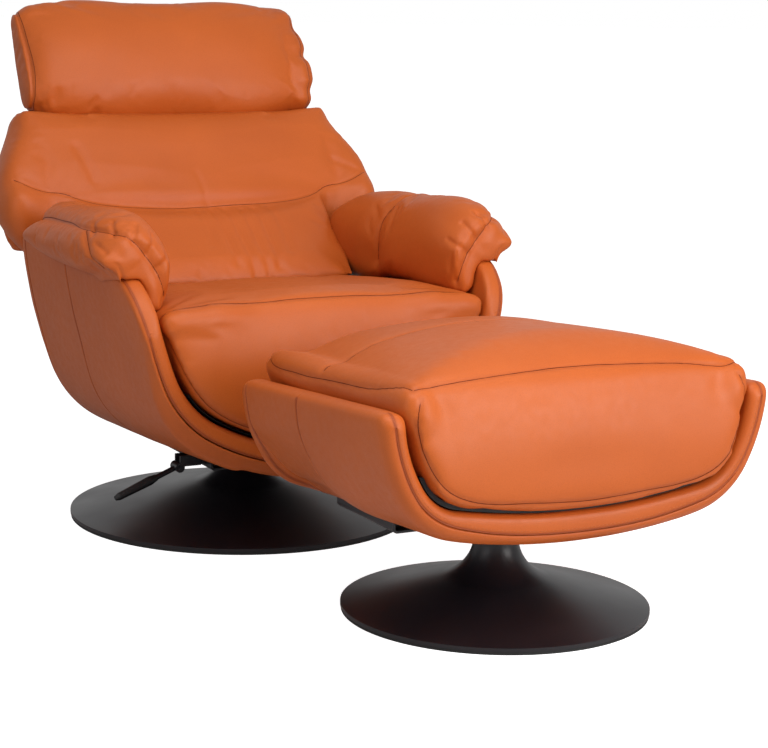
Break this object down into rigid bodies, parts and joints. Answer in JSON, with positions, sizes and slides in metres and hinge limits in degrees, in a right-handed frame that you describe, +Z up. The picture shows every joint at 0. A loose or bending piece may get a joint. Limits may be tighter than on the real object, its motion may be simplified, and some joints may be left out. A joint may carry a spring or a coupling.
{
  "type": "swivel recliner with ottoman",
  "caption": "Leather swivel recliner in a curved shell, with a reclining back, sliding seat, tilting headrest and release lever, and its matching ottoman, on round trumpet bases.",
  "frame": {"origin": "on the floor, on the axis about which the chair swivels", "axes": "+Z up; the chair faces -Y, towards its ottoman; +X is on the sitter's left"},
  "size_m": [0.8674, 1.5295, 0.9458],
  "materials": {
    "leather": "satin",
    "black_steel": "satin",
    "steel": "satin",
    "plywood": "matte",
    "black_plastic": "matte",
    "rubber": "matte",
    "webbing": "matte"
  },
  "bodies": {
    "chair_base": {"base_glide_ring": "rubber", "base_dish": "black_steel", "base_ballast_plate": "steel", "base_column": "steel", "base_foot_bolts": "steel", "base_neck_collar": "black_plastic", "base_lower_bush": "black_plastic", "base_upper_bush": "black_plastic"},
    "seat_shell": {"swivel_spindle": "steel", "spindle_clip": "steel", "mechanism_tray": "black_steel", "shell_saddles": "black_plastic", "tray_bolts": "steel", "lever_bracket": "black_steel", "shell_outer_leather": "leather", "shell_plywood": "plywood", "shell_inner_leather": "leather", "slide_beams": "black_steel", "slide_rails": "steel", "gas_spring_cylinder": "black_steel", "recline_brackets": "black_steel", "arm_cushion_left": "leather", "arm_cushion_right": "leather"},
    "release_lever": {"lever_arm": "black_steel", "lever_grip": "black_plastic"},
    "back": {"back_cushion": "leather", "back_panel": "plywood", "back_rear_cover": "leather", "headrest_stays": "black_steel", "back_arms": "black_steel", "recline_bushes": "black_plastic", "link_tube": "steel"},
    "seat": {"seat_cushion": "leather", "seat_board": "plywood", "seat_front_panel": "plywood", "seat_webbing": "webbing", "slide_runners": "steel", "gas_spring_rod": "steel", "link_plates": "steel"},
    "headrest": {"headrest_cushion": "leather", "headrest_board": "plywood", "headrest_leaves": "steel", "headrest_pins": "steel"},
    "ottoman": {"ottoman_glide_ring": "rubber", "ottoman_dish": "black_steel", "ottoman_ballast_plate": "steel", "ottoman_column": "steel", "ottoman_foot_bolts": "steel", "ottoman_neck_collar": "black_plastic", "ottoman_outer_leather": "leather", "ottoman_plywood": "plywood", "ottoman_inner_leather": "leather", "ottoman_tray": "black_steel", "ottoman_saddles": "black_plastic", "ottoman_tray_bolts": "steel", "ottoman_pan": "black_plastic", "ottoman_cushion": "leather"}
  },
  "joints": [
    {"name": "chair_swivel", "type": "hinge", "parent": "chair_base", "child": "seat_shell", "pos_m": [0, 0, 0], "axis": [0, 0, 1], "continuous": true},
    {"name": "lever_lift", "type": "hinge", "parent": "seat_shell", "child": "release_lever", "pos_m": [-0.157, -0.062, 0.113], "axis": [0, 1, 0], "range_deg": [0, 18], "stiffness_Nm_per_rad": 1.5, "springref_deg": -11.46},
    {"name": "back_recline", "type": "hinge", "parent": "seat_shell", "child": "back", "pos_m": [0, 0.04, 0.4], "axis": [-1, 0, 0], "range_deg": [0, 28]},
    {"name": "seat_slide", "type": "slide", "parent": "seat_shell", "child": "seat", "axis": [0, -0.9976, 0.0698], "range_m": [0, 0.045]},
    {"name": "headrest_tilt", "type": "hinge", "parent": "back", "child": "headrest", "pos_m": [0, 0.39565, 0.77398], "axis": [1, 0, 0], "range_deg": [0, 40]},
    {"name": "ottoman_slide", "type": "slide", "parent": "chair_base", "child": "ottoman", "axis": [0, -1, 0], "range_m": [0, 0.3]}
  ],
  "couplings": [
    {"joint": "seat_slide", "follows": "back_recline", "m_per_rad": 0.091264}
  ]
}
